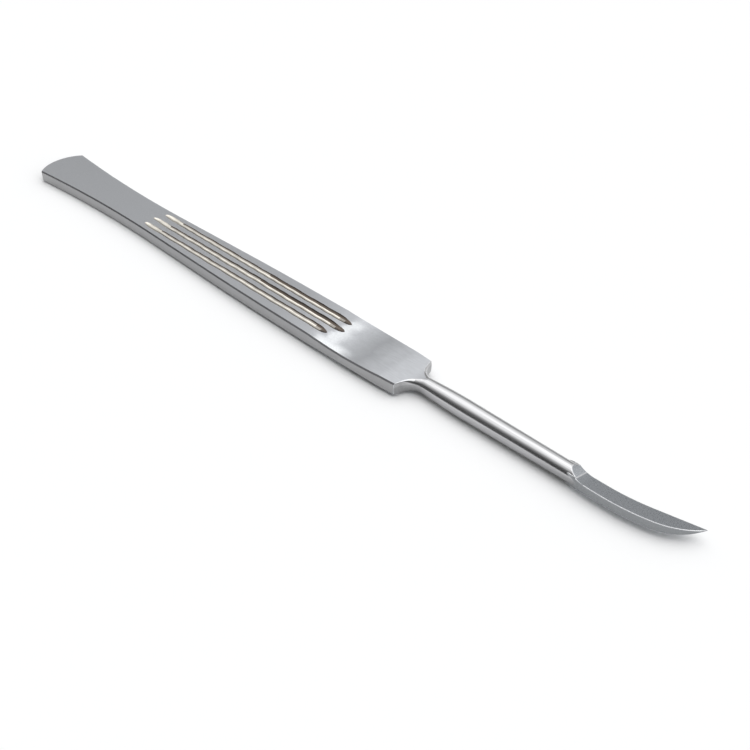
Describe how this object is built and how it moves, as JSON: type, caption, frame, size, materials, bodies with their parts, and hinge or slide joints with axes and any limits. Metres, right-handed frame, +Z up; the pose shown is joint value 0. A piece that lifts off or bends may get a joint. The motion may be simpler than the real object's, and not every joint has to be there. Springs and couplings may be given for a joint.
{
  "type": "scalpel",
  "caption": "Steel scalpel with a flat fluted handle flared at the tail, a slim round shank and a small curved fixed blade.",
  "frame": {"origin": "on the surface it lies on, under the middle of its length", "axes": "+X from the tail to the tip of the blade, +Y towards the side that the blade curves to, +Z up off the surface"},
  "size_m": [0.2, 0.0132, 0.0043],
  "materials": {
    "steel": "stainless steel, matt brushed faces, polished shank and edges"
  },
  "bodies": {
    "root": {"scalpel": "steel"}
  },
  "joints": []
}
